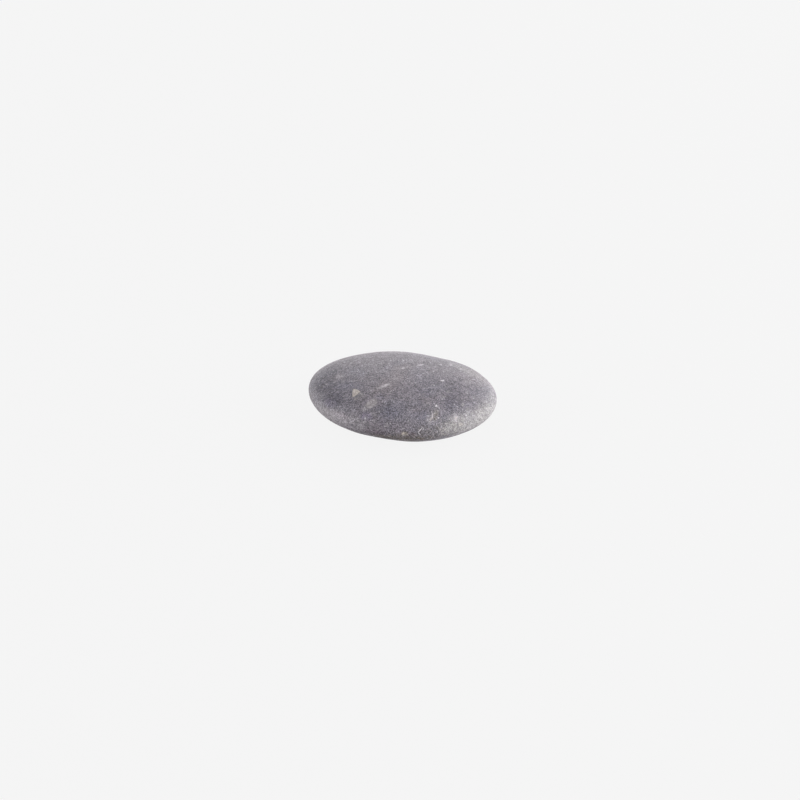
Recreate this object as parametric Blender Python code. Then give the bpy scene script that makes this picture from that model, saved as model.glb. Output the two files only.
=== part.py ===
# River pebble: one water-worn stone, a flattened oval lying on its broad side.
# Units are metres, +Z up. The origin is the middle of the stone's footprint box,
# on the level it rests on. +X runs along the longest extent, +Z through the thickness.

import math

import bmesh
import bpy
from mathutils import Vector

# Driving dimensions, in metres.
HALF_LENGTH = 0.0370       # plan oval, centre to rim along X
HALF_WIDTH = 0.0308        # plan oval, centre to rim along Y
CROWN_HEIGHT = 0.0103      # rim line up to the top
BELLY_DEPTH = 0.0102       # rim line down to the underside, before the rest face
REST_CUT = 0.0005          # how much of the belly is worn away where the stone sits

# The plan is a superellipse with a slight skew and a slight three-cornered lean.
PLAN_EXPONENT = 1.92
PLAN_SKEW = 0.016
PLAN_LEAN = 0.013
PLAN_LEAN_AZIMUTH = 54.0   # degrees from +X

# Broad soft facets that tumbling wore onto the stone. Each has the azimuth from +X and
# the elevation it faces, in degrees, then its bite and its blend width, in metres.
WORN_FACETS = {
    "front_left_shoulder": (-120.0, 20.0, 0.0008, 0.0009),
    "front_right_shoulder": (-40.0, 20.0, 0.0009, 0.0009),
    "back_left_flank": (118.0, -18.0, 0.0009, 0.0011),
    "back_right_flank": (62.0, 14.0, 0.0004, 0.0010),
    "belly_left": (150.0, -62.0, 0.0006, 0.0009),
    "belly_right": (20.0, -55.0, 0.0006, 0.0009),
    "belly_front": (-85.0, -60.0, 0.00035, 0.0005),
    "crown_back": (85.0, 58.0, 0.0003, 0.0009),
}

# Long low swells left in the surface, crossing one another in evenly spread headings.
SWELL_COUNT = 7
SWELL_LENGTH = 0.024       # crest to crest
SWELL_HEIGHT = 0.00012
SWELL_PHASE_STEP = 1.7     # radians from one swell to the next
GOLDEN_ANGLE = math.pi * (3.0 - math.sqrt(5.0))

SPHERE_SUBDIVISIONS = 5    # 5120 triangles before the rest face is cut
STONE_COLOUR = (0.158, 0.145, 0.162, 1.0)
STONE_ROUGHNESS = 0.55


def heading(azimuth, elevation):
    """Unit vector for an azimuth from +X and an elevation, both in radians."""
    flat = math.cos(elevation)
    return Vector((math.cos(azimuth) * flat, math.sin(azimuth) * flat, math.sin(elevation)))


def plan_radius(azimuth):
    """Distance from the centre to the rim line, seen from above."""
    across = abs(math.cos(azimuth) / HALF_LENGTH) ** PLAN_EXPONENT
    along = abs(math.sin(azimuth) / HALF_WIDTH) ** PLAN_EXPONENT
    skew = PLAN_SKEW * math.sin(2.0 * azimuth)
    lean = PLAN_LEAN * math.cos(3.0 * (azimuth - math.radians(PLAN_LEAN_AZIMUTH)))
    return (across + along) ** (-1.0 / PLAN_EXPONENT) * (1.0 + skew + lean)


def unworn_point(direction):
    """Point of the flattened oval that a direction on the unit sphere maps to."""
    azimuth = math.atan2(direction.y, direction.x)
    radius = plan_radius(azimuth) * math.hypot(direction.x, direction.y)
    half_thickness = CROWN_HEIGHT if direction.z > 0.0 else BELLY_DEPTH
    return Vector((
        radius * math.cos(azimuth),
        radius * math.sin(azimuth),
        half_thickness * direction.z,
    ))


def wear_facet(point, azimuth, elevation, bite, blend):
    """Push a point back behind a plane that faces one way, with a soft edge.

    The push is blend * ln(1 + e^(depth / blend)), where depth is how far the point
    stands beyond the plane, and the plane lies bite inside the oval's reach.
    """
    facing = heading(math.radians(azimuth), math.radians(elevation))
    half_thickness = CROWN_HEIGHT if elevation > 0.0 else BELLY_DEPTH
    reach = Vector((
        HALF_LENGTH * facing.x,
        HALF_WIDTH * facing.y,
        half_thickness * facing.z,
    )).length
    depth = point.dot(facing) - (reach - bite)
    push = max(depth, 0.0) + blend * math.log1p(math.exp(-abs(depth) / blend))
    return point - facing * push


def swell_height(point):
    """Sum of low waves that run through the stone in evenly spread headings."""
    total = 0.0
    for index in range(SWELL_COUNT):
        elevation = math.asin(1.0 - (2.0 * index + 1.0) / SWELL_COUNT)
        along = point.dot(heading(index * GOLDEN_ANGLE, elevation))
        total += math.sin(math.tau * along / SWELL_LENGTH + index * SWELL_PHASE_STEP)
    return SWELL_HEIGHT * total / math.sqrt(SWELL_COUNT)


def stone_point(direction):
    """Point of the finished stone, measured from the middle of its rim line."""
    point = unworn_point(direction)
    for azimuth, elevation, bite, blend in WORN_FACETS.values():
        point = wear_facet(point, azimuth, elevation, bite, blend)
    return point + point.normalized() * swell_height(point)


def cut_rest_face(mesh):
    """Slice the belly off on a level plane and close it, so the stone lies still."""
    level = min(vert.co.z for vert in mesh.verts) + REST_CUT
    bmesh.ops.bisect_plane(
        mesh,
        geom=mesh.verts[:] + mesh.edges[:] + mesh.faces[:],
        plane_co=(0.0, 0.0, level),
        plane_no=(0.0, 0.0, -1.0),
        clear_outer=True,
    )
    border = [edge for edge in mesh.edges if edge.is_boundary]
    for vert in {vert for edge in border for vert in edge.verts}:
        vert.co.z = level
    bmesh.ops.triangle_fill(mesh, edges=border, use_beauty=True, normal=(0.0, 0.0, -1.0))


def stand_on_origin(mesh):
    """Move the stone so that its box stands centred on the origin, on Z = 0."""
    low = Vector(min(vert.co[axis] for vert in mesh.verts) for axis in range(3))
    high = Vector(max(vert.co[axis] for vert in mesh.verts) for axis in range(3))
    middle = (low + high) / 2.0
    bmesh.ops.translate(mesh, verts=mesh.verts[:], vec=(-middle.x, -middle.y, -low.z))


def make_material():
    """Mauve-grey stone with a dry, lightly polished surface."""
    material = bpy.data.materials.new("mauve_grey_stone")
    material.use_nodes = True
    shader = material.node_tree.nodes["Principled BSDF"]
    shader.inputs["Base Color"].default_value = STONE_COLOUR
    shader.inputs["Roughness"].default_value = STONE_ROUGHNESS
    shader.inputs["Metallic"].default_value = 0.0
    material.diffuse_color = STONE_COLOUR
    return material


def make_pebble():
    """The whole stone: a sphere of even triangles carried through stone_point."""
    mesh = bmesh.new()
    bmesh.ops.create_icosphere(mesh, subdivisions=SPHERE_SUBDIVISIONS, radius=1.0)
    for vert in mesh.verts:
        vert.co = stone_point(vert.co.normalized())
    cut_rest_face(mesh)
    stand_on_origin(mesh)
    bmesh.ops.recalc_face_normals(mesh, faces=mesh.faces[:])
    data = bpy.data.meshes.new("pebble")
    mesh.to_mesh(data)
    mesh.free()
    data.shade_smooth()
    data.materials.append(make_material())
    pebble = bpy.data.objects.new("pebble", data)
    bpy.context.scene.collection.objects.link(pebble)
    return pebble


for old in list(bpy.data.objects):
    bpy.data.objects.remove(old)
make_pebble()
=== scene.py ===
import math

import bpy
import numpy as np
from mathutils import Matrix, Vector


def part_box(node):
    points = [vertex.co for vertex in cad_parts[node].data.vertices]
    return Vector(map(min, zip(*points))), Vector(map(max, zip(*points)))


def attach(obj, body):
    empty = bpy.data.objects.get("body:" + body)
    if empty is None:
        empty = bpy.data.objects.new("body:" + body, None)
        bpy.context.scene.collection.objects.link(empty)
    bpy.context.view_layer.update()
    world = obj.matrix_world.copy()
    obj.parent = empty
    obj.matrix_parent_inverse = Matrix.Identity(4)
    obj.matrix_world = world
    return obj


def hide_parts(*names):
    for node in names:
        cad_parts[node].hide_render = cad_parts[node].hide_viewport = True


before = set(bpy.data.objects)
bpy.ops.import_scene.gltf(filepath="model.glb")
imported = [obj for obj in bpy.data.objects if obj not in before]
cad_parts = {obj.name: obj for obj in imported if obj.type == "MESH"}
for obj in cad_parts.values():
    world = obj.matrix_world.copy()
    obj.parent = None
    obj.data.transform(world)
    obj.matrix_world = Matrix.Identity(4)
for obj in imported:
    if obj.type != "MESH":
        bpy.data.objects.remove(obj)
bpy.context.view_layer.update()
print("frame loaded, solids:", sorted(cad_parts))

mm = 0.001
goldenAngle = math.pi * (3.0 - math.sqrt(5.0))

# Everything about the stone. Form and relief are in metres and degrees; the finish, stains and
# clasts are in millimetres and degrees, with linear colours.
pebbleValues = {
    "form": {
        "halfLength": 0.0370,
        "halfWidth": 0.0308,
        "crownHeight": 0.0103,
        "bellyDepth": 0.0102,
        "restCut": 0.0005,  # depth of belly that the rest face takes away
        "restBlend": 0.00005,
        "planExponent": 1.92,
        "planSkew": 0.016,
        "planLean": 0.013,
        "planLeanAzimuth": 54.0,
        "swellCount": 7,
        "swellLength": 0.024,
        "swellHeight": 0.00012,
        "swellPhaseStep": 1.7,
        "cellsPerSheet": 127,
        "rimSpread": 0.42,  # height of the battered rim, as a share of the stone's half height
        # azimuth and elevation faced, then bite and blend
        "wornFacets": {
            "frontLeftShoulder": (-120.0, 20.0, 0.0008, 0.0009),
            "frontRightShoulder": (-40.0, 20.0, 0.0009, 0.0009),
            "backLeftFlank": (118.0, -18.0, 0.0009, 0.0011),
            "backRightFlank": (62.0, 14.0, 0.0004, 0.0010),
            "bellyLeft": (150.0, -62.0, 0.0006, 0.0009),
            "bellyRight": (20.0, -55.0, 0.0006, 0.0009),
            "bellyFront": (-85.0, -60.0, 0.00035, 0.0005),
            "crownBack": (85.0, 58.0, 0.0003, 0.0009),
        },
    },
    # rolling ground, and shallow knocks with their least and greatest sizes
    "relief": {
        "seed": 23,
        "rollingCell": 0.0060,
        "rollingHeight": 0.000045,
        "rollingOctaves": 3,
        "knockCount": 90,
        "knockRadius": (0.0008, 0.0024),
        "knockDepth": (0.000015, 0.00007),
    },
    "finish": {
        "ground": (0.1360, 0.1230, 0.1405, 1),
        "cool": (0.1300, 0.1215, 0.1430, 1),
        "warm": (0.1450, 0.1275, 0.1400, 1),
        # pale, used for worn areas and also as painted light on the rim band, the top and the edges
        "chalkAndLight": (0.290, 0.272, 0.288, 1),
        "cream": (0.370, 0.332, 0.305, 1),
        "ochre": (0.250, 0.220, 0.185, 1),
        "olive": (0.150, 0.139, 0.134, 1),
        "white": (0.430, 0.405, 0.430, 1),
        # earthy brown, also used as painted shade along the lower front edge and in the pits
        "earthAndShade": (0.077, 0.064, 0.059, 1),
        # pale, used for worn areas and also as painted light at the right end
        "siltAndLight": (0.262, 0.252, 0.252, 1),
        "rose": (0.262, 0.225, 0.252, 1),
        "plum": (0.078, 0.061, 0.076, 1),
        "slate": (0.076, 0.070, 0.088, 1),
        "violet": (0.130, 0.113, 0.156, 1),
        "blue": (0.113, 0.108, 0.136, 1),
        "darkGrain": (0.052, 0.049, 0.060, 1),
        "paleGrain": (0.315, 0.298, 0.312, 1),
        # wide drifts: colour, noise lumps per millimetre, noise where it starts and where it is full
        "drifts": (("cool", 0.055, 0.42, 0.66), ("warm", 0.060, 0.48, 0.72)),
        "driftStep": (31.0, -12.0, 7.0),  # a shift that keeps the drifts apart
        # stains from the lowest to the topmost, and the noise that breaks them up
        "stainOrder": (
            "blue", "olive", "slate", "violet", "plum", "earthAndShade", "ochre", "siltAndLight", "rose", "chalkAndLight",
        ),
        "patchNoise": (0.8, 4.0, 0.65),  # lumps per millimetre, octaves added, what each keeps
        "patchSpan": (0.32, 0.68),  # the noise where patches start and where they are full
        "patchStrength": (0.35, 1.5),  # what a stain's strength is multiplied by at either end
        # spacing, radius, share of places filled, softness, least and greatest strength
        "darkGrains": (0.95, 0.34, 0.60, 0.60, 0.10, 0.60),
        "paleGrains": (1.05, 0.34, 0.70, 0.50, 0.10, 0.95),
        "paleFlecks": (3.3, 0.40, 0.35, 0.50, 0.15, 0.70),
        # pits: a little dirt, and painted shade in them
        "pitDirtAndShade": (1.35, 0.15, 0.40, 0.70, 0.30, 0.60),
        # noise that ruffles the outlines of the grains and of the single marks: lumps per
        # millimetre, reach, octaves added, what each keeps
        "grainStir": (2.2, 0.35, 2.0, 0.6),
        "clastStir": (1.3, 0.40, 3.0, 0.6),
        # shifts that keep one scattered kind from falling on another
        "paleShift": (5.3, 8.1, -2.9),
        "pitShift": (-9.0, 3.0, 6.0),
        # tiny packed crystals: size, how far they are pushed about, how far their shades differ
        "fineCrystal": 0.22,
        "fineWobble": 0.5,
        "fineContrast": 0.78,
        # mottling and speckle: lumps per millimetre, octaves added, darkest and lightest shade
        "speckle": ((0.33, 3.0, 0.88, 1.132), (0.85, 2.0, 0.85, 1.165), (2.1, 3.0, 0.48, 1.572)),
        "speckleKeep": 0.62,  # what each octave keeps
        "speckleSpan": (0.34, 0.66),  # the noise at the darkest and at the lightest
        "wornCalm": 0.9,  # how much of it worn areas, and areas painted lighter, lose
        "clastSpeckle": 0.55,  # how much of it single marks keep
        # how far crystals fray a round mark, and a three-cornered one
        "clastFray": (0.5, 0.1),
        # how pale the knocks are battered, and how pale the rim band is made: battered paler, with
        # painted light added where lamps and floor light it
        "rimPaleAndLit": 0.15,
        "bruisePale": 0.16,
        # roughness of the ground, and what pale and dark grains add to it
        "roughness": 0.57,
        "paleRoughness": -0.12,
        "darkRoughness": 0.06,
        "shine": 0.35,
        # the faint dusty sheen
        "dustSheen": 0.17,
        "dustRoughness": 0.22,
        "dustTint": (1.0, 0.92, 0.96, 1),
        # the bump's depth and noise, and how far each thing stands out of it or lies in it
        "bumpDepth": 0.03,
        "bumpNoise": (1.3, 5.0, 0.65),
        "grit": {"pale": 0.35, "dark": -0.25, "pits": -1.6, "edge": -0.3},
    },
    # stained and worn areas, with some painted light and painted shade among them: colour, place,
    # half sizes along and across, heading of the long side from +X, softness of the edge, strength
    "stains": {
        "slateLeft": ("slate", (-27, -13, 15), (8.5, 4), -60, 0.6, 0.88),
        "slateLeftLow": ("slate", (-19, -20.5, 14.5), (4.6, 3), -30, 0.6, 0.85),
        "slateLeftHigh": ("slate", (-22.5, -14.5, 16), (3.8, 1.5), -15, 0.6, 0.5),
        "slateLeftFar": ("slate", (-28, -3, 16.5), (5.5, 3.5), -60, 0.7, 0.4),
        "slateTriangle": ("slate", (-17.5, -9.5, 18), (4.5, 1.8), -65, 0.7, 0.32),
        "slateMiddleLeft": ("slate", (-12.5, -11.5, 18.5), (2.2, 1.2), -60, 0.7, 0.2),
        "slateClast": ("slate", (-12.5, -19.5, 17), (5, 3.4), 5, 0.7, 0.35),
        "slateClastLow": ("slate", (-12.5, -23, 15.5), (1.7, 1.2), -50, 0.7, 0.15),
        "slateOval": ("slate", (-4, -23, 16.5), (3.7, 3), 85, 0.6, 0.3),
        "slateLow": ("slate", (2, -24, 16), (7, 3), 10, 0.7, 0.16),
        "slateRight": ("slate", (22.5, -1.5, 18), (6, 4.2), -85, 0.7, 0.45),
        "slateRightLow": ("slate", (23.5, -10, 17), (3.8, 2.8), -80, 0.7, 0.6),
        "slateRightFar": ("slate", (28.5, 2.5, 16), (3.5, 2.4), 80, 0.7, 0.35),
        "slateMiddle": ("slate", (14, -16.5, 17.5), (1.8, 1.5), 40, 0.7, 0.3),
        "slateVein": ("slate", (14.5, -8, 18.5), (1.9, 1), -70, 0.7, 0.4),
        "slateFront": ("slate", (4.5, -28.5, 13), (3.2, 1.4), 10, 0.7, 0.45),
        "slateUnder": ("slate", (-8, 6, 0.5), (12, 7), 30, 0.7, 0.35),
        "blueLeft": ("blue", (-17.5, -14, 17), (6.5, 3), -5, 0.7, 0.6),
        "blueTip": ("blue", (-32.5, -11, 12.5), (4.4, 1.7), -55, 0.7, 0.6),
        "blueFront": ("blue", (5, -24.5, 16), (3.6, 2.7), 10, 0.6, 0.8),
        "blueFrontRight": ("blue", (16.5, -21.5, 15), (3.4, 1.8), 30, 0.7, 0.6),
        "blueMiddle": ("blue", (13, -10, 18.5), (3, 2.3), -75, 0.7, 0.5),
        "blueStreak": ("blue", (-1.5, -18, 18), (1.8, 1.5), -45, 0.7, 0.5),
        "blueRight": ("blue", (24.5, -11, 16.5), (3.2, 2.3), 45, 0.7, 0.4),
        "blueEnd": ("blue", (30, -7, 15), (5.1, 1.8), 45, 0.7, 0.25),
        "blueSpot": ("blue", (24.5, -19, 13.5), (1, 0.9), 50, 0.6, 0.7),
        "violetRim": ("violet", (-20.5, -22, 13), (2.8, 1.6), -30, 0.7, 0.6),
        "violetFront": ("violet", (-3.5, -27.5, 14), (2.3, 1.4), 0, 0.7, 0.9),
        "violetDot": ("violet", (-3.5, -28, 13.5), (0.9, 0.8), -45, 0.6, 0.6),
        # this and the next two: a plum tint along the lower front edge, darker still as painted shade
        # where the belly gets little light
        "plumShadeFrontLeft": ("plum", (-9, -29.5, 7.5), (3.6, 0.8), -15, 0.6, 0.2),
        "plumShadeFront": ("plum", (1.5, -30.5, 9.5), (5, 1.2), 0, 0.6, 0.7),
        "plumShadeFrontRight": ("plum", (15, -28, 10), (1.4, 1), 20, 0.6, 0.6),
        "plumDot": ("plum", (11, -29, 11), (1.1, 0.9), 30, 0.7, 0.25),
        "plumLow": ("plum", (6, -29, 11.5), (9, 2.8), 10, 0.8, 0.36),
        # this and the next two: an earthy brown along the lower front edge, darker still as painted shade
        # where the belly gets little light
        "earthShadeFront": ("earthAndShade", (6, -30, 8), (6, 1.3), 5, 0.6, 0.95),
        "earthShadeFrontRight": ("earthAndShade", (13, -28.5, 8), (6.5, 2), 20, 0.7, 0.9),
        "earthShadeEnd": ("earthAndShade", (20, -25, 8), (4.5, 2), 35, 0.7, 0.6),
        "earthThread": ("earthAndShade", (18.5, -25.5, 11.5), (2.3, 1.9), 45, 0.7, 0.42),
        "earthRight": ("earthAndShade", (22.5, -23, 11), (1.9, 1.2), 45, 0.7, 0.35),
        "earthBack": ("earthAndShade", (8, 28, 5.5), (11, 3), -10, 0.7, 0.4),
        "oliveRight": ("olive", (27.5, -18.5, 10.5), (7, 3.2), 50, 0.7, 0.7),
        "oliveEnd": ("olive", (35.5, -5, 11.5), (5, 2.6), 75, 0.7, 0.6),
        "oliveClast": ("olive", (-10, -19, 17), (2.2, 1.7), -40, 0.6, 0.6),
        "oliveVein": ("olive", (21, -19, 15), (2.4, 1), -75, 0.6, 0.8),
        # this and the next: the right end worn paler, and paler still as painted light standing in for
        # the right lamp
        "wornEndWide": ("siltAndLight", (36, -2, 11), (11, 4.5), 90, 0.8, 0.34),
        "wornRightWide": ("siltAndLight", (30.5, -12.5, 11), (8.5, 4), 60, 0.8, 0.3),
        # painted light: the middle of the top made a little paler, as if lit more from behind
        "wornTop": ("chalkAndLight", (4, 5, 19.5), (20, 9), 10, 0.8, 0.07),
        "wornLeftTip": ("chalkAndLight", (-32.5, -12.5, 11.5), (6, 2.4), -60, 0.7, 0.32),
        # painted light: the lower left edge made paler, as if lit from beneath
        "wornLeftEdge": ("chalkAndLight", (-23, -23.5, 8), (10.5, 2.4), -35, 0.6, 0.38),
        "wornLeftRim": ("chalkAndLight", (-25, -21.5, 10), (5, 1.8), -40, 0.6, 0.42),
        "wornLeftFront": ("chalkAndLight", (-15.5, -26.5, 10), (6, 2), -25, 0.6, 0.26),
        "wornFront": ("chalkAndLight", (-7, -28.5, 12), (4.5, 1.3), -10, 0.6, 0.15),
        "wornRight": ("siltAndLight", (26.5, -19.5, 11), (1.8, 1.2), -65, 0.5, 0.55),
        "wornRightRim": ("siltAndLight", (30.5, -15.5, 10), (4.2, 2), 55, 0.6, 0.28),
        "wornRightUp": ("siltAndLight", (30.5, -12.5, 13.5), (2.9, 1.7), 70, 0.6, 0.18),
        "wornEnd": ("siltAndLight", (34.5, -10, 9.5), (4, 1.4), 65, 0.6, 0.12),
        "wornEndFar": ("siltAndLight", (35.5, 4, 12.5), (6.5, 2), -75, 0.7, 0.3),
        # this and the next: painted highlight, the right end's edge and the back edge beside it made
        # paler where a bright rim catches light
        "wornEndEdge": ("siltAndLight", (36.5, -2, 10), (9.5, 2.4), 90, 0.7, 0.55),
        "wornEndBack": ("chalkAndLight", (32, 13.5, 11.5), (8, 2.8), -60, 0.7, 0.4),
        "wornRightEdge": ("siltAndLight", (32, -15, 8.5), (8, 1.6), 55, 0.6, 0.25),
        "wornFarRight": ("chalkAndLight", (20.5, 14, 17), (4, 2.2), -25, 0.6, 0.25),
        "wornFarEdge": ("siltAndLight", (21.5, 16, 16.5), (8, 2.8), -15, 0.7, 0.45),
        "wornFar": ("chalkAndLight", (-10, 18.5, 17), (4.5, 2.2), 0, 0.6, 0.22),
        "wornBack": ("chalkAndLight", (-12, 27.5, 9), (8, 2.8), 20, 0.6, 0.3),
        "wornBackRight": ("chalkAndLight", (24, 22, 8.5), (6, 2.4), -50, 0.6, 0.3),
        "roseMiddle": ("rose", (-15, -26, 12), (0.9, 0.6), -15, 0.6, 0.6),
        "roseRight": ("rose", (-12, -27, 12), (1.2, 0.8), 5, 0.7, 0.55),
        "roseRim": ("rose", (-14.5, -26.5, 11.5), (4.5, 1.4), -20, 0.7, 0.35),
        "paleOval": ("chalkAndLight", (-3.5, -22.5, 16.5), (2.6, 1.8), 70, 0.35, 0.62),
        "paleOvalTail": ("chalkAndLight", (-5, -24.5, 15.5), (1.4, 1.1), 55, 0.6, 0.45),
        "paleStreak": ("chalkAndLight", (-2.5, -12.5, 19), (2.9, 0.9), 50, 0.5, 0.6),
        "paleVein": ("chalkAndLight", (19.5, -21.5, 14.5), (2.3, 1.1), -80, 0.7, 0.5),
        "paleVeinHigh": ("chalkAndLight", (16, -16, 17), (2.3, 1.2), -90, 0.7, 0.15),
        "paleVeinSide": ("chalkAndLight", (19.5, -17.5, 16), (1.6, 1.1), -75, 0.7, 0.15),
        "paleBlotch": ("chalkAndLight", (27.5, -15.5, 13.5), (1.9, 1.4), 60, 0.6, 0.55),
        "paleFoot": ("chalkAndLight", (-5, -30, 10.5), (2, 0.8), 0, 0.6, 0.35),
        "paleFar": ("siltAndLight", (20.5, -9, 17.5), (0.8, 0.6), 45, 0.6, 0.4),
        "paleFarHigh": ("siltAndLight", (21, -5.5, 18), (0.8, 0.6), 85, 0.6, 0.4),
        "paleEndHigh": ("siltAndLight", (30, -2, 15.5), (0.9, 0.6), 80, 0.6, 0.5),
        "paleEndLow": ("siltAndLight", (30, -9.5, 14.5), (0.8, 0.5), 70, 0.6, 0.5),
        "paleEndLeft": ("siltAndLight", (28, -9, 15.5), (0.8, 0.7), -55, 0.6, 0.5),
        "paleLeft": ("chalkAndLight", (-22.5, -7.5, 17), (2.1, 1.2), -55, 0.8, 0.3),
        "paleBack": ("chalkAndLight", (-12.5, 2, 19), (1.9, 1.4), -60, 0.8, 0.25),
        "paleBackMiddle": ("chalkAndLight", (15.5, 7, 19), (2.2, 1.1), -80, 0.7, 0.25),
        "paleMiddleRight": ("chalkAndLight", (10, 3, 19.5), (2.4, 1.2), -70, 0.7, 0.12),
        "paleMiddle": ("chalkAndLight", (-0.5, -6, 20), (1.5, 1.2), -70, 0.8, 0.25),
        "paleFrontRight": ("chalkAndLight", (5.5, -29, 13), (0.9, 0.7), -60, 0.7, 0.4),
        "paleLow": ("chalkAndLight", (13, -25.5, 14), (0.8, 0.6), -70, 0.7, 0.4),
        "paleRight": ("chalkAndLight", (27, -1, 16.5), (1.1, 0.7), -80, 0.7, 0.4),
        "paleRightMiddle": ("chalkAndLight", (19.5, -2, 18.5), (1.7, 0.9), -75, 0.7, 0.18),
        "paleBackRight": ("chalkAndLight", (24.5, 5.5, 17), (2.2, 1.3), 85, 0.7, 0.3),
        "paleBackEnd": ("chalkAndLight", (29.5, 10, 15), (4, 1.8), -85, 0.7, 0.22),
        "paleTipHigh": ("chalkAndLight", (-26, -18, 13), (2.4, 1.3), -30, 0.7, 0.25),
        "paleClast": ("chalkAndLight", (-8.5, -18.5, 17.5), (1.4, 1), -25, 0.7, 0.25),
        "paleFrontHigh": ("chalkAndLight", (-1, -26.5, 15), (1.3, 1), -20, 0.7, 0.35),
        "paleFrontLow": ("chalkAndLight", (-3, -28, 13.5), (1.3, 1), -10, 0.7, 0.2),
        "paleRightEnd": ("chalkAndLight", (34, -0.5, 13.5), (1.1, 0.6), 50, 0.7, 0.4),
        "paleBehind": ("chalkAndLight", (-20, 20, 10.5), (2.4, 1.6), 30, 0.6, 0.5),
        "paleUnder": ("chalkAndLight", (14, 10, 1.5), (2.8, 1.7), 20, 0.6, 0.5),
        "ochreDot": ("ochre", (12.5, -29, 10.5), (1.1, 0.9), 20, 0.6, 0.6),
        "ochreVein": ("ochre", (20.5, -20, 15), (2, 0.9), -75, 0.6, 0.3),
        "ochreUnder": ("ochre", (-20, -10, 3.5), (1.6, 1.1), -40, 0.6, 0.5),
        "ochreSmear": ("ochre", (28.5, -16.5, 12), (2.4, 1.2), 45, 0.7, 0.15),
    },
    # single grains and threads: the same six, and how three-cornered each is
    "clasts": {
        "creamClast": ("cream", (-11.7, -17.6, 17.4), (1.9, 2.8), 200, 0.22, 0.8, 0.65),
        "creamClastFoot": ("cream", (-10.3, -21, 16.5), (0.8, 0.5), -10, 0.6, 0.3, 0.0),
        "ovalHeart": ("cream", (-3.3, -22.2, 16.8), (2.6, 1.8), 70, 0.35, 0.15, 0.0),
        "streakTip": ("white", (-1.9, -11.6, 19.4), (1.5, 0.4), 55, 0.5, 0.5, 0.0),
        "veinHigh": ("white", (19.6, -19.2, 15.4), (1.2, 0.2), -60, 0.5, 0.65, 0.0),
        "veinMiddle": ("white", (20.2, -20, 14.9), (0.6, 0.2), -70, 0.5, 0.6, 0.0),
        "veinLow": ("cream", (20, -21.5, 14.3), (1.2, 0.2), -90, 0.5, 0.65, 0.0),
        "veinBead": ("white", (19.8, -15.1, 16.6), (0.7, 0.5), -75, 0.4, 0.9, 0.0),
        "veinBeadRight": ("white", (21.1, -15.5, 16.2), (0.35, 0.3), -85, 0.5, 0.6, 0.0),
        "veinDot": ("white", (22.2, -19.7, 14.3), (0.35, 0.3), 50, 0.5, 0.7, 0.0),
        "threadHigh": ("white", (17.6, -26.2, 11.7), (1.1, 0.17), 85, 0.5, 0.85, 0.0),
        "threadLow": ("white", (17.5, -26.8, 10.5), (0.9, 0.18), -55, 0.5, 0.75, 0.0),
        "threadRight": ("white", (18.6, -25.5, 11.8), (0.8, 0.17), -75, 0.5, 0.6, 0.0),
        "threadHook": ("white", (18, -25.3, 12.5), (0.5, 0.17), -50, 0.5, 0.6, 0.0),
        "ochreDotHeart": ("cream", (12.2, -28.9, 10.6), (0.35, 0.3), 20, 0.5, 0.8, 0.0),
        "blotch": ("white", (27.8, -15.6, 13.4), (1.3, 0.8), -85, 0.7, 0.45, 0.0),
        "blotchHeart": ("cream", (27.8, -15.8, 13.4), (0.7, 0.35), -85, 0.6, 0.7, 0.0),
        "smearHeart": ("cream", (29.7, -15.9, 11.1), (0.9, 0.4), 55, 0.6, 0.5, 0.0),
        "creamLow": ("cream", (24.9, -21.7, 9.2), (0.35, 0.3), 45, 0.5, 0.6, 0.0),
        "fleckUp": ("white", (30.6, -12.1, 13.3), (0.5, 0.4), 60, 0.5, 0.65, 0.0),
        "fleckRight": ("white", (16.7, 0.3, 18.9), (0.8, 0.45), 45, 0.35, 0.9, 0.0),
        "fleckMiddle": ("white", (-0.4, 2.5, 19.9), (0.95, 0.6), 20, 0.5, 0.6, 0.0),
        "fleckBack": ("white", (4.5, 7.9, 19.6), (1.5, 0.5), 50, 0.5, 0.55, 0.0),
        "fleckFar": ("white", (14.6, 15.5, 17.7), (1, 0.6), -70, 0.5, 0.55, 0.0),
        "fleckFarLeft": ("white", (11.4, 13, 18.6), (0.7, 0.45), 70, 0.5, 0.5, 0.0),
        "fleckEdge": ("white", (18.7, 14.9, 17.2), (0.8, 0.45), 65, 0.5, 0.5, 0.0),
        "fleckTop": ("white", (-2.8, 9.2, 19.5), (0.9, 0.45), -70, 0.5, 0.5, 0.0),
        "fleckTopLeft": ("white", (-7.4, 7.7, 19.4), (0.65, 0.4), -65, 0.5, 0.4, 0.0),
        "fleckLeft": ("white", (-9.5, 3.8, 19.5), (0.8, 0.45), 5, 0.5, 0.3, 0.0),
        "fleckFront": ("white", (-3.6, -28.1, 13.4), (0.4, 0.4), 0, 0.5, 0.7, 0.0),
        "fleckFrontRight": ("white", (-0.4, -28.7, 13.3), (0.3, 0.3), 0, 0.5, 0.6, 0.0),
        "lineMiddle": ("white", (13.1, -7.5, 18.9), (1.95, 0.3), 35, 0.6, 0.22, 0.0),
        "speckMiddle": ("white", (15, -4.6, 18.9), (0.4, 0.3), -75, 0.5, 0.5, 0.0),
        "speckVein": ("white", (20.3, -10.8, 17.4), (0.35, 0.3), -80, 0.5, 0.6, 0.0),
        "speckHigh": ("white", (18.5, -7.9, 18.1), (0.55, 0.4), -85, 0.6, 0.35, 0.0),
        "speckRight": ("white", (25.2, -10.7, 16.2), (0.45, 0.35), -80, 0.6, 0.35, 0.0),
        "behindClast": ("cream", (6, 27, 11.5), (1.4, 1), 10, 0.2, 0.8, 0.5),
        "underClast": ("cream", (2, -16, 1.2), (1.3, 1.6), 50, 0.2, 0.8, 0.6),
    },
}


# unit vector for an azimuth from +X and an elevation, in radians
def heading(azimuth, elevation):
    flat = math.cos(elevation)
    return np.array([math.cos(azimuth) * flat, math.sin(azimuth) * flat, math.sin(elevation)])


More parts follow.
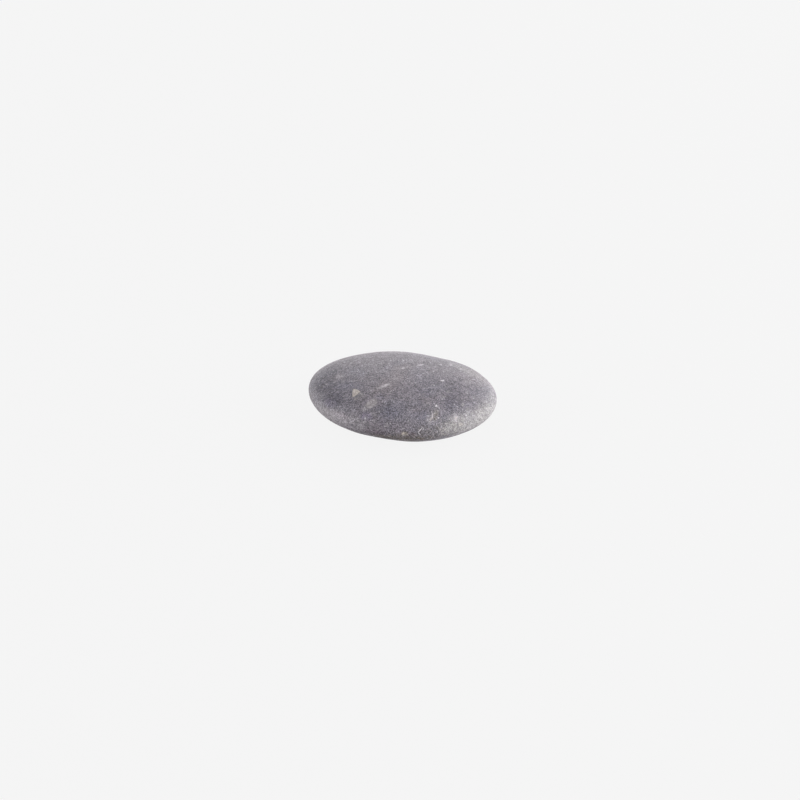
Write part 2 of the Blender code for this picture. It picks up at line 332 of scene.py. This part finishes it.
# 3 t^2 - 2 t^3: runs from 0 to 1 and is level at both ends
def smoothStep(share):
    return share * share * (3.0 - 2.0 * share)


# blend ln(1 + e^(depth / blend)): nothing outside a plane, the depth itself inside it, and
# a rounded turn between the two
def softDepth(depth, blend):
    return np.maximum(depth, 0.0) + blend * np.log1p(np.exp(-np.abs(depth) / blend))


# Six square sheets, one for each side of a cube. With a and b running from -1 to 1 on a sheet,
# the direction is outward + tan(a pi/4) right + tan(b pi/4) up, scaled to length one.
# Points that neighbouring sheets share are numbered once, which closes the seams.
def cubeSheets(cells):
    a, b = np.meshgrid(np.linspace(-1, 1, cells + 1), np.linspace(-1, 1, cells + 1), indexing="ij")
    across, along = np.tan(a * math.pi / 4), np.tan(b * math.pi / 4)
    outward = np.array([[0, 0, 1], [0, 0, -1], [1, 0, 0], [0, 1, 0], [-1, 0, 0], [0, -1, 0]])
    right = np.array([[1, 0, 0], [1, 0, 0], [0, 1, 0], [-1, 0, 0], [0, -1, 0], [1, 0, 0]])
    up = np.cross(outward, right)
    cube = outward[:, None, None] + across[..., None] * right[:, None, None]
    cube = cube + along[..., None] * up[:, None, None]
    directions = (cube / np.linalg.norm(cube, axis=-1, keepdims=True)).reshape(-1, 3)
    rounded = np.round(directions * 1e6).astype(np.int64)  # shared points differ only in rounding
    first, numbered = np.unique(rounded, axis=0, return_index=True, return_inverse=True)[1:]
    grid = numbered.reshape(6, cells + 1, cells + 1)
    corners = [grid[:, :-1, :-1], grid[:, 1:, :-1], grid[:, 1:, 1:], grid[:, :-1, 1:]]
    quads = np.stack(corners, axis=-1).reshape(-1, 4)
    return directions[first], quads


# Flattened oval: the plan radius is a superellipse of the two half lengths, with a sine of the
# doubled azimuth and a cosine of the tripled one added; the height follows the direction's z.
def unwornPoints(directions, form):
    azimuth = np.arctan2(directions[:, 1], directions[:, 0])
    power = form["planExponent"]
    radius = (
        np.abs(np.cos(azimuth) / form["halfLength"]) ** power
        + np.abs(np.sin(azimuth) / form["halfWidth"]) ** power
    ) ** (-1.0 / power)
    lean = 3.0 * (azimuth - math.radians(form["planLeanAzimuth"]))
    radius *= 1.0 + form["planSkew"] * np.sin(2.0 * azimuth) + form["planLean"] * np.cos(lean)
    radius *= np.hypot(directions[:, 0], directions[:, 1])
    half = np.where(directions[:, 2] > 0.0, form["crownHeight"], form["bellyDepth"])
    height = half * directions[:, 2]
    return np.stack([radius * np.cos(azimuth), radius * np.sin(azimuth), height], axis=-1)


# A worn facet: points that stand out of a plane are pushed back to it by their soft depth.
def wearFacet(points, form, azimuth, elevation, bite, blend):
    facing = heading(math.radians(azimuth), math.radians(elevation))
    half = form["crownHeight"] if elevation > 0.0 else form["bellyDepth"]
    reach = np.linalg.norm(facing * [form["halfLength"], form["halfWidth"], half])
    push = softDepth(points @ facing - (reach - bite), blend)
    return points - push[:, None] * facing


# Long low swells: sines of the distance along evenly spread headings, added up.
def swellHeight(points, form):
    total = np.zeros(len(points))
    for index in range(form["swellCount"]):
        elevation = math.asin(1.0 - (2.0 * index + 1.0) / form["swellCount"])
        along = points @ heading(index * goldenAngle, elevation)
        total += np.sin(math.tau * along / form["swellLength"] + index * form["swellPhaseStep"])
    return form["swellHeight"] * total / math.sqrt(form["swellCount"])


# Smooth random heights from -1 to 1: each corner of a cubic lattice has a value scrambled from
# its whole-number place by large primes, blended across its cell by smoothStep. Each seed reads
# another part of the lattice.
def latticeNoise(points, cell, seed):
    place = points / cell + seed * 17.31
    corner = np.floor(place).astype(np.int64)
    part = smoothStep(place - corner)
    total = np.zeros(len(points))
    for index in range(8):
        step = np.array([index & 1, (index >> 1) & 1, index >> 2])
        key = (corner + step) @ np.array([73856093, 19349663, 83492791]) + seed * 7919
        key = ((key ^ (key >> 13)) & 0x7FFFFFFF) * 1274126177 & 0x7FFFFFFF
        value = ((key ^ (key >> 11)) & 0xFFFF) / 32767.5 - 1.0
        total += value * np.prod(np.where(step == 1, part, 1.0 - part), axis=-1)
    return total


# Rolling ground is lattice noise whose cell and height halve at each octave.
# A knock is a bowl: depth times (1 - (distance / radius)^2)^2 inside its radius.
def reliefHeight(points, relief):
    height = np.zeros(len(points))
    for octave in range(relief["rollingOctaves"]):
        share = 0.5 ** octave
        height += share * latticeNoise(points, relief["rollingCell"] * share, relief["seed"] + octave)
    height *= relief["rollingHeight"]
    knocks = np.zeros(len(points))
    draws = np.random.default_rng(relief["seed"])
    for centre in points[draws.integers(0, len(points), relief["knockCount"])]:
        radius = draws.uniform(*relief["knockRadius"])
        depth = draws.uniform(*relief["knockDepth"])
        away = np.sum((points - centre) ** 2, axis=-1) / radius ** 2
        knocks += depth * np.clip(1.0 - away, 0.0, 1.0) ** 2
    return height - knocks, knocks


# The whole stone: oval, facets, swells and relief, then the rest face, where heights under
# the rest level are lifted to it softly. It is laid exactly into the solid's own box.
def stonePoints(directions, form, relief, low, high):
    points = unwornPoints(directions, form)
    for facet in form["wornFacets"].values():
        points = wearFacet(points, form, *facet)
    outward = points / np.linalg.norm(points, axis=-1, keepdims=True)
    points = points + outward * swellHeight(points, form)[:, None]
    halves = np.array([form["halfLength"], form["halfWidth"], form["crownHeight"]])
    normals = points / halves ** 2
    normals /= np.linalg.norm(normals, axis=-1, keepdims=True)
    height, knocks = reliefHeight(points, relief)
    points = points + normals * height[:, None]
    level = points[:, 2].min() + form["restCut"]
    points[:, 2] += softDepth(level - points[:, 2], form["restBlend"])
    smallest, largest = points.min(axis=0), points.max(axis=0)
    points = low + (points - smallest) * (high - low) / (largest - smallest)
    return points, normals, knocks


# a mesh of four-cornered faces
def makeMesh(name, points, quads):
    mesh = bpy.data.meshes.new(name)
    mesh.vertices.add(len(points))
    mesh.vertices.foreach_set("co", points.astype(np.float32).ravel())
    mesh.loops.add(quads.size)
    mesh.loops.foreach_set("vertex_index", quads.astype(np.int32).ravel())
    mesh.polygons.add(len(quads))
    mesh.polygons.foreach_set("loop_start", np.arange(0, quads.size, 4, dtype=np.int32))
    mesh.update(calc_edges=True)
    mesh.validate()
    mesh.shade_smooth()
    return mesh


def makeObject(name, data):
    made = bpy.data.objects.new(name, data)
    bpy.context.scene.collection.objects.link(made)
    return made


# A mark's own axes on the stone: into it along the surface's normal at the nearest point,
# along its heading laid flat on the surface, and across; each is divided by its half size.
def markAxes(place, half, turn, points, normals):
    nearest = np.argmin(np.sum((points - np.array(place) * mm) ** 2, axis=-1))
    into = normals[nearest]
    along = heading(math.radians(turn), 0.0)
    along = along - into * (along @ into)
    along /= np.linalg.norm(along)
    across = np.cross(into, along)
    return points[nearest] / mm, along / half[0], across / half[1], into / max(half)


# How strongly each colour stains each point: smoothStep across the soft edge of every ellipsoid,
# times its strength; where stains of one colour overlap, what is left shows through.
def stainMasks(points, normals, stains):
    clear = {}
    for kind, place, half, turn, soft, strength in stains.values():
        centre, *axes = markAxes(place, half, turn, points, normals)
        outside = np.linalg.norm((points / mm - centre) @ np.array(axes).T, axis=-1)
        edge = np.clip((1.0 + soft - outside) / (2.0 * soft), 0.0, 1.0)
        clear[kind] = clear.get(kind, 1.0) * (1.0 - strength * smoothStep(edge))
    return {kind: 1.0 - left for kind, left in clear.items()}


low, high = (np.array(corner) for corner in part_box("pebble"))
directions, quads = cubeSheets(pebbleValues["form"]["cellsPerSheet"])
points, normals, knocks = stonePoints(directions, pebbleValues["form"], pebbleValues["relief"], low, high)
pebble = makeObject("riverPebble", makeMesh("riverPebble", points, quads))
masks = stainMasks(points, normals, pebbleValues["stains"])
# the rim band round the widest line: battered paler, and partly painted light where lamps and floor light
# it
masks["rim"] = np.exp(-(directions[:, 2] / pebbleValues["form"]["rimSpread"]) ** 2)
# worn areas, and areas painted lighter: wherever either of the two pale colours is
masks["worn"] = 1.0 - (1.0 - masks["chalkAndLight"]) * (1.0 - masks["siltAndLight"])
masks["bruise"] = knocks / max(pebbleValues["relief"]["knockDepth"])
for name, mask in masks.items():
    pebble.data.attributes.new(name + "Mask", "FLOAT", "POINT").data.foreach_set("value", mask)
print("stone shaped:", len(points), "points,", 2 * len(quads), "triangles")

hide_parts("pebble")
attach(pebble, "root")


# fills a node's inputs: a socket is joined, a value is set, and None is passed over
def fillInputs(tree, node, inputs):
    for name, value in inputs.items():
        if isinstance(value, bpy.types.NodeSocket):
            tree.links.new(value, node.inputs[name])
        elif value is not None:
            node.inputs[name].default_value = value


def addNode(tree, kind, options=(), inputs=()):
    node = tree.nodes.new("ShaderNode" + kind)
    for name, value in dict(options).items():
        setattr(node, name, value)
    fillInputs(tree, node, dict(inputs))
    return node


# one Math node
def number(tree, operation, first, second=None, third=None):
    inputs = {0: first, 1: second, 2: third}
    return addNode(tree, "Math", {"operation": operation}, inputs).outputs[0]


# one Vector Math node
def vector(tree, operation, first, second=None, scale=None):
    inputs = {0: first, 1: second, "Scale": scale}
    node = addNode(tree, "VectorMath", {"operation": operation}, inputs)
    return node.outputs["Value" if operation in ("LENGTH", "DOT_PRODUCT") else "Vector"]


# carries a value from one range to another, easing at both ends
def ease(tree, value, lowest, highest, start=0.0, end=1.0):
    inputs = {"Value": value, "From Min": lowest, "From Max": highest, "To Min": start, "To Max": end}
    return addNode(tree, "MapRange", {"interpolation_type": "SMOOTHSTEP"}, inputs).outputs[0]


# the first colour where the factor is 0, the second where it is 1
def mixColour(tree, factor, first, second):
    options = {"data_type": "RGBA", "clamp_factor": True}
    return addNode(tree, "Mix", options, {0: factor, 6: first, 7: second}).outputs[2]


# noise of a number of lumps to the unit, with octaves added that each keep a share of the last
def noise(tree, position, lumps, octaves=2.0, keep=0.5, output="Fac"):
    inputs = {"Vector": position, "Scale": lumps, "Detail": octaves, "Roughness": keep}
    return addNode(tree, "TexNoise", {}, inputs).outputs[output]


# turns nodes on for a material or a world, and clears what is there
def emptyTree(owner):
    owner.use_nodes = True
    owner.node_tree.nodes.clear()
    return owner.node_tree


# a node group with named inputs and outputs, and its own inner sockets
def newGroup(name, inputs, outputs):
    group = bpy.data.node_groups.new(name, "ShaderNodeTree")
    for socketName, kind, start in inputs:
        socket = group.interface.new_socket(socketName, in_out="INPUT", socket_type="NodeSocket" + kind)
        socket.default_value = start
    for socketName, kind in outputs:
        group.interface.new_socket(socketName, in_out="OUTPUT", socket_type="NodeSocket" + kind)
    return group, group.nodes.new("NodeGroupInput").outputs, group.nodes.new("NodeGroupOutput").inputs


# places a group in a tree with its own values
def useGroup(tree, group, **inputs):
    node = addNode(tree, "Group")
    node.node_tree = group
    fillInputs(tree, node, inputs)
    return node.outputs


# packed crystals: each Voronoi cell draws a shade and a tint from 0 to 1; Edge is the distance
# from the cell's own point, in cells
def makeCrystals():
    group, given, result = newGroup(
        "packedCrystals",
        [("Position", "Vector", (0, 0, 0)), ("Size", "Float", 0.5), ("Wobble", "Float", 0.2)],
        [("Shade", "Float"), ("Tint", "Float"), ("Edge", "Float")],
    )
    frequency = number(group, "DIVIDE", 1.0, given["Size"])
    stirLumps = number(group, "MULTIPLY", frequency, 1.3)  # a little finer than the crystals
    stir = noise(group, given["Position"], stirLumps, 1.0, output="Color")
    stir = vector(group, "SUBTRACT", stir, (0.5, 0.5, 0.5))
    reach = number(group, "MULTIPLY", given["Wobble"], given["Size"])
    place = vector(group, "ADD", given["Position"], vector(group, "SCALE", stir, scale=reach))
    cells = addNode(group, "TexVoronoi", {"feature": "F1"}, {"Vector": place, "Scale": frequency})
    parts = addNode(group, "SeparateColor", {}, {0: cells.outputs["Color"]})
    group.links.new(parts.outputs[0], result["Shade"])
    group.links.new(parts.outputs[1], result["Tint"])
    group.links.new(cells.outputs["Distance"], result["Edge"])
    return group


# grains scattered one to a cell, in a share of the cells, as balls that the surface cuts
def makeScatter():
    group, given, result = newGroup(
        "scatteredGrains",
        [("Position", "Vector", (0, 0, 0)), ("Spacing", "Float", 4.0), ("Radius", "Float", 0.5),
         ("Share", "Float", 0.3), ("Soft", "Float", 0.3)],
        [("Mask", "Float"), ("Tint", "Float")],
    )
    frequency = number(group, "DIVIDE", 1.0, given["Spacing"])
    lattice = {"Vector": given["Position"], "Scale": frequency}
    cells = addNode(group, "TexVoronoi", {"feature": "F1"}, lattice)
    parts = addNode(group, "SeparateColor", {}, {0: cells.outputs["Color"]})
    chosen = number(group, "LESS_THAN", parts.outputs[0], given["Share"])
    smallest, largest = 0.45, 1.15  # of the radius
    size = number(group, "MULTIPLY_ADD", parts.outputs[1], largest - smallest, smallest)
    radius = number(group, "MULTIPLY", given["Radius"], number(group, "MULTIPLY", size, frequency))
    outside = number(group, "DIVIDE", cells.outputs["Distance"], radius)
    inner = number(group, "SUBTRACT", 1.0, given["Soft"])
    mask = ease(group, outside, inner, 1.0, 1.0, 0.0)
    group.links.new(number(group, "MULTIPLY", mask, chosen), result["Mask"])
    group.links.new(parts.outputs[2], result["Tint"])
    return group


markOutline = {
    "sideReach": 1.9,  # a three-cornered mark's sides lie at 1 / 1.9 of its half sizes
    "frayedSpan": (0.25, 0.85),  # the frayed mask where the mark starts and where it is full
    "presentSpan": (0.0, 0.12),  # the smooth mask over which it fades away outside
}


# One mark at a known place: an ellipsoid whose axes are given already divided by its half sizes,
# pulled towards a triangle where Corners is 1. Grain, a crystal's draw, frays it by Ragged.
def makeMark(outline):
    group, given, result = newGroup(
        "placedMark",
        [("Position", "Vector", (0, 0, 0)), ("Centre", "Vector", (0, 0, 0)),
         ("Along", "Vector", (1, 0, 0)), ("Across", "Vector", (0, 1, 0)), ("Into", "Vector", (0, 0, 1)),
         ("Soft", "Float", 0.3), ("Corners", "Float", 0.0),
         ("Grain", "Float", 0.5), ("Ragged", "Float", 0.5)],
        [("Mask", "Float")],
    )
    away = vector(group, "SUBTRACT", given["Position"], given["Centre"])
    along = vector(group, "DOT_PRODUCT", away, given["Along"])
    across = vector(group, "DOT_PRODUCT", away, given["Across"])
    into = vector(group, "DOT_PRODUCT", away, given["Into"])
    flat = addNode(group, "CombineXYZ", {}, {0: along, 1: across, 2: into}).outputs[0]
    oval = vector(group, "LENGTH", flat)
    sides = None
    for turn in (0.0, 120.0, 240.0):
        side = (math.cos(math.radians(turn)), math.sin(math.radians(turn)), 0.0)
        reach = vector(group, "DOT_PRODUCT", flat, side)
        sides = reach if sides is None else number(group, "MAXIMUM", sides, reach)
    angular = number(group, "MULTIPLY", sides, outline["sideReach"])
    shape = {0: given["Corners"], 2: oval, 3: angular}
    outside = addNode(group, "Mix", {"data_type": "FLOAT"}, shape).outputs[0]
    near = number(group, "SUBTRACT", 1.0, given["Soft"])
    far = number(group, "ADD", 1.0, given["Soft"])
    mask = ease(group, outside, near, far, 1.0, 0.0)
    grain = number(group, "MULTIPLY", number(group, "SUBTRACT", given["Grain"], 0.5), given["Ragged"])
    frayed = ease(group, number(group, "ADD", mask, grain), *outline["frayedSpan"])
    present = ease(group, mask, *outline["presentSpan"])
    group.links.new(number(group, "MULTIPLY", frayed, present), result["Mask"])
    return group


# shifts a place by noise, by up to half the reach
def stirred(tree, position, lumps, reach, octaves, keep):
    found = noise(tree, position, lumps, octaves, keep, "Color")
    shift = vector(tree, "SUBTRACT", found, (0.5, 0.5, 0.5))
    return vector(tree, "ADD", position, vector(tree, "SCALE", shift, scale=reach))


# how much of a scattered kind of grain shows: its mask, between a least and greatest strength
def grainMask(tree, group, position, values):
    spacing, radius, share, soft, least, greatest = values
    grains = {"Position": position, "Spacing": spacing, "Radius": radius, "Share": share, "Soft": soft}
    found = useGroup(tree, group, **grains)
    strength = number(tree, "MULTIPLY_ADD", found["Tint"], greatest - least, least)
    return number(tree, "MULTIPLY", found["Mask"], strength)


# one of the masks kept on the stone's own points
def maskOf(tree, name):
    return addNode(tree, "Attribute", {"attribute_name": name + "Mask"}).outputs["Fac"]


# the plain rock, in wide drifts of cooler and warmer colour
def driftColour(tree, position, look):
    colour = look["ground"]
    for index, (kind, lumps, start, full) in enumerate(look["drifts"]):
        place = vector(tree, "ADD", position, [index * step for step in look["driftStep"]])
        colour = mixColour(tree, ease(tree, noise(tree, place, lumps), start, full), colour, look[kind])
    return colour


# the rim band (battered, partly painted light) and the knocks, then the stains and worn areas with
# painted light and painted shade among them, all broken up by noise
def stainColour(tree, position, colour, look):
    found = noise(tree, position, *look["patchNoise"])
    patchy = ease(tree, found, *look["patchSpan"], *look["patchStrength"])
    layers = [("rim", "chalkAndLight", look["rimPaleAndLit"]), ("bruise", "chalkAndLight", look["bruisePale"])]
    layers += [(kind, kind, 1.0) for kind in look["stainOrder"]]
    for name, kind, strength in layers:
        mask = number(tree, "MULTIPLY", maskOf(tree, name), number(tree, "MULTIPLY", patchy, strength))
        colour = mixColour(tree, mask, colour, look[kind])
    return colour


# mottling and speckle: noise from wide to fine, multiplied together, then drawn towards 1 by calm
def speckleShade(tree, position, calm, look):
    shade = 1.0
    for lumps, octaves, darkest, lightest in look["speckle"]:
        found = noise(tree, position, lumps, octaves, look["speckleKeep"])
        found = ease(tree, found, *look["speckleSpan"], darkest, lightest)
        shade = number(tree, "MULTIPLY", shade, found)
    return number(tree, "MULTIPLY_ADD", number(tree, "SUBTRACT", shade, 1.0), calm, 1.0)


# what the placed mark's group is given for each single grain or thread
def clastInputs(points, normals, clasts, fray):
    made = []
    for kind, place, half, turn, soft, strength, corners in clasts.values():
        centre, along, across, into = markAxes(place, half, turn, points, normals)
        axes = {"Centre": centre, "Along": along, "Across": across, "Into": into}
        inputs = {name: tuple(axis) for name, axis in axes.items()}
        inputs.update(Soft=soft, Corners=corners, Ragged=fray[0] + (fray[1] - fray[0]) * corners)
        made.append((kind, strength, inputs))
    return made


def makeStone(points, normals, values):
    look = values["finish"]
    crystals, scatter, placed = makeCrystals(), makeScatter(), makeMark(markOutline)
    material = bpy.data.materials.new("mauveGreyStone")
    tree = emptyTree(material)
    surface = {
        "Metallic": 0.0,
        "IOR": 1.5,
        "Specular IOR Level": look["shine"],
        "Sheen Weight": look["dustSheen"],
        "Sheen Roughness": look["dustRoughness"],
        "Sheen Tint": look["dustTint"],
    }
    shader = addNode(tree, "BsdfPrincipled", {}, surface)
    addNode(tree, "OutputMaterial", {}, {"Surface": shader.outputs[0]})
    position = vector(tree, "SCALE", addNode(tree, "TexCoord").outputs["Object"], scale=1.0 / mm)

    # the rock and its stains, speckled, with tiny crystals
    crystalSizes = {"Size": look["fineCrystal"], "Wobble": look["fineWobble"]}
    fine = useGroup(tree, crystals, Position=position, **crystalSizes)
    contrast = look["fineContrast"]
    crystalShade = number(tree, "MULTIPLY_ADD", fine["Shade"], contrast, 1.0 - contrast / 2)
    calm = number(tree, "MULTIPLY_ADD", maskOf(tree, "worn"), -look["wornCalm"], 1.0)
    shade = speckleShade(tree, position, calm, look)
    colour = stainColour(tree, position, driftColour(tree, position, look), look)
    colour = vector(tree, "SCALE", colour, scale=number(tree, "MULTIPLY", shade, crystalShade))

    # dark and pale mineral grains, fainter where worn and where painted lighter, and larger pale flecks
    stirredPlace = stirred(tree, position, *look["grainStir"])
    dark = number(tree, "MULTIPLY", grainMask(tree, scatter, stirredPlace, look["darkGrains"]), calm)
    colour = mixColour(tree, dark, colour, look["darkGrain"])
    shifted = vector(tree, "ADD", stirredPlace, look["paleShift"])
    pale = number(tree, "MULTIPLY", grainMask(tree, scatter, shifted, look["paleGrains"]), calm)
    colour = mixColour(tree, pale, colour, look["paleGrain"])
    flecks = grainMask(tree, scatter, stirredPlace, look["paleFlecks"])
    colour = mixColour(tree, flecks, colour, look["white"])

    # single grains and threads at their own places, a little speckled too
    nudged = stirred(tree, position, *look["clastStir"])
    offShade = number(tree, "SUBTRACT", shade, 1.0)
    clastShade = number(tree, "MULTIPLY_ADD", offShade, look["clastSpeckle"], 1.0)
    for kind, strength, inputs in clastInputs(points, normals, values["clasts"], look["clastFray"]):
        mask = useGroup(tree, placed, Position=nudged, Grain=fine["Tint"], **inputs)["Mask"]
        shaded = vector(tree, "SCALE", look[kind][:3], scale=clastShade)
        colour = mixColour(tree, number(tree, "MULTIPLY", mask, strength), colour, shaded)

    # open pits hold a little dirt, darkened further as painted shade in them
    shifted = vector(tree, "ADD", stirredPlace, look["pitShift"])
    pits = grainMask(tree, scatter, shifted, look["pitDirtAndShade"])
    colour = mixColour(tree, pits, colour, look["earthAndShade"])
    tree.links.new(colour, shader.inputs["Base Color"])

    # pale grains are worn a little smoother than the ground between them, dark ones are rougher
    rough = number(tree, "MULTIPLY_ADD", pale, look["paleRoughness"], look["roughness"])
    rough = number(tree, "MULTIPLY_ADD", dark, look["darkRoughness"], rough)
    tree.links.new(rough, shader.inputs["Roughness"])

    # grains, pits and the edges of the crystals stand out of the uneven ground or lie in it
    height = noise(tree, position, *look["bumpNoise"])
    for name, found in {"pale": pale, "dark": dark, "edge": fine["Edge"], "pits": pits}.items():
        height = number(tree, "MULTIPLY_ADD", found, look["grit"][name], height)
    relief = {"Strength": 1.0, "Distance": look["bumpDepth"] * mm, "Height": height}
    tree.links.new(addNode(tree, "Bump", {}, relief).outputs[0], shader.inputs["Normal"])
    return material


pebble.data.materials.append(makeStone(points, normals, pebbleValues))
print("stone surfaced")


studio = {
    "floorReach": 4.0,  # metres to each side
    "floorDrop": 0.00003,  # metres under the rest face
    "floorWhite": 0.64,
    "floorGlow": 0.912,  # the glow that the camera sees
    "shadowShare": 0.03,  # how much of the real shading it sees instead
    "floorLift": 0.2,  # the glow that lights the stone from beneath
    "surroundGlow": 0.913,  # the surroundings that the camera sees
    "surroundLight": 0.43,  # the surroundings that light the stone
}


# A pale paper floor. Seen directly it is mostly an even glow, as on a light table, with a
# little of the real shading; it lights the stone from beneath, and from below it is clear.
def makeFloor(look):
    reach = look["floorReach"]
    corners = np.array([[-1, -1, 0], [1, -1, 0], [1, 1, 0], [-1, 1, 0]]) * reach
    corners = corners - [0, 0, look["floorDrop"]]
    floor = makeObject("floor", makeMesh("floor", corners, np.array([[0, 1, 2, 3]])))
    material = bpy.data.materials.new("palePaper")
    tree = emptyTree(material)
    white = (look["floorWhite"],) * 3 + (1,)
    matt = addNode(tree, "BsdfDiffuse", {}, {"Color": white})
    lift = addNode(tree, "Emission", {}, {"Strength": look["floorLift"]})
    lit = addNode(tree, "AddShader", {}, {0: matt.outputs[0], 1: lift.outputs[0]})
    glow = addNode(tree, "Emission", {}, {"Strength": look["floorGlow"]})
    mostly = {0: look["shadowShare"], 1: glow.outputs[0], 2: matt.outputs[0]}
    shown = addNode(tree, "MixShader", {}, mostly)
    seen = addNode(tree, "LightPath").outputs["Is Camera Ray"]
    surface = addNode(tree, "MixShader", {}, {0: seen, 1: lit.outputs[0], 2: shown.outputs[0]})
    beneath = addNode(tree, "NewGeometry").outputs["Backfacing"]
    clear = addNode(tree, "BsdfTransparent")
    sided = addNode(tree, "MixShader", {}, {0: beneath, 1: surface.outputs[0], 2: clear.outputs[0]})
    addNode(tree, "OutputMaterial", {}, {"Surface": sided.outputs[0]})
    floor.data.materials.append(material)


# even white surroundings, which the camera sees as plain pale paper
def makeWorld(look):
    world = bpy.data.worlds.new("whiteRoom")
    bpy.context.scene.world = world
    tree = emptyTree(world)
    light = addNode(tree, "Background", {}, {"Color": (1, 1, 1, 1), "Strength": look["surroundLight"]})
    plain = addNode(tree, "Background", {}, {"Color": (1, 1, 1, 1), "Strength": look["surroundGlow"]})
    seen = addNode(tree, "LightPath").outputs["Is Camera Ray"]
    both = addNode(tree, "MixShader", {}, {0: seen, 1: light.outputs[0], 2: plain.outputs[0]})
    addNode(tree, "OutputWorld", {}, {"Surface": both.outputs[0]})


# azimuth is measured round the stone from the camera's side: 0 in front, 90 to the right, 180
# behind; distances and sizes are in metres, power in watts
softLights = {
    "backStrip": {"azimuth": 180, "elevation": 17, "distance": 0.9, "size": (1.6, 0.45), "power": 5.2},
    "rightSide": {"azimuth": 85, "elevation": 22, "distance": 0.9, "size": (1.4, 0.75), "power": 18.8},
    "leftSide": {"azimuth": -90, "elevation": 17, "distance": 0.9, "size": (0.7, 0.45), "power": 3.4},
    "frontLeft": {"azimuth": -60, "elevation": 42, "distance": 0.9, "size": (0.8, 0.6), "power": 2.5},
}


def makeLights(lights, cameraAzimuth):
    for name, place in lights.items():
        light = bpy.data.lights.new(name, "AREA")
        light.shape = "RECTANGLE"
        light.size, light.size_y = place["size"]
        light.energy = place["power"]
        azimuth = cameraAzimuth - math.pi / 2 + math.radians(place["azimuth"])
        toward = Vector(heading(azimuth, math.radians(place["elevation"])))
        lamp = makeObject(name, light)
        lamp.location = toward * place["distance"]
        lamp.rotation_mode = "QUATERNION"
        lamp.rotation_quaternion = toward.to_track_quat("Z", "Y")
        lamp.visible_camera = False


# degrees, metres, and the lens in millimetres; aimLeft and aimDown set the picture's middle,
# measured from the target
cameraPlace = {
    "azimuth": 21.27,
    "elevation": 29.0,
    "distance": 0.7261,
    "lens": 85.0,
    "nearest": 0.01,
    "target": (0.0, 0.0, 0.010),
    "aimLeft": 0.00058,
    "aimDown": 0.00231,
}


def placeCamera(place):
    azimuth, elevation = math.radians(place["azimuth"]), math.radians(place["elevation"])
    back = Vector(heading(azimuth - math.pi / 2, elevation))
    right = Vector((math.cos(azimuth), math.sin(azimuth), 0.0))
    up = back.cross(right)
    aim = Vector(place["target"]) - right * place["aimLeft"] - up * place["aimDown"]
    camera = makeObject("camera", bpy.data.cameras.new("camera"))
    camera.data.lens = place["lens"]
    camera.data.clip_start = place["nearest"]
    camera.location = aim + back * place["distance"]
    camera.rotation_mode = "QUATERNION"
    camera.rotation_quaternion = (-back).to_track_quat("-Z", "Y")
    bpy.context.scene.camera = camera


makeFloor(studio)
makeWorld(studio)
makeLights(softLights, math.radians(cameraPlace["azimuth"]))
placeCamera(cameraPlace)
bpy.context.scene.view_settings.view_transform = "Standard"
print("studio and camera placed")
